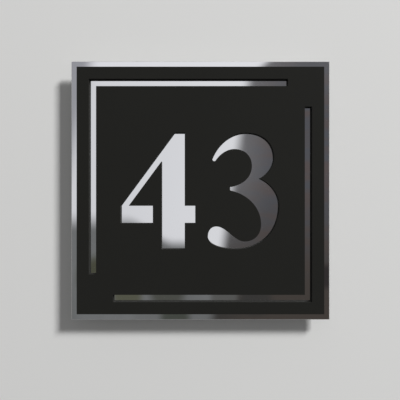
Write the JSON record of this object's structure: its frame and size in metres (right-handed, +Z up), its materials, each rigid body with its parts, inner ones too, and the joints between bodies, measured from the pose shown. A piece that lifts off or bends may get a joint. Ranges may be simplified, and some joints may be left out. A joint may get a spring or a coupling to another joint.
{
  "type": "house number plaque",
  "caption": "Square black panel, stencil cut with numerals and corner lines over a mirror-polished plate, held off the wall on hidden studs with spacer sleeves.",
  "frame": {"origin": "on the wall, in the middle of the four fixings", "axes": "+Y into the wall, along the studs; +Z up; the face looks along -Y and reads from -X to +X"},
  "size_m": [0.2, 0.0415, 0.2],
  "materials": {
    "black_acrylic": "satin",
    "mirror_steel": "polished",
    "stud_steel": "satin",
    "sleeve_aluminium": "satin"
  },
  "bodies": {
    "root": {"face_panel": "black_acrylic", "mirror_plate": "mirror_steel", "bonded_stud_lower_left": "stud_steel", "bonded_stud_lower_right": "stud_steel", "bonded_stud_upper_left": "stud_steel", "bonded_stud_upper_right": "stud_steel", "spacer_sleeve_lower_left": "sleeve_aluminium", "spacer_sleeve_lower_right": "sleeve_aluminium", "spacer_sleeve_upper_left": "sleeve_aluminium", "spacer_sleeve_upper_right": "sleeve_aluminium"}
  },
  "joints": []
}
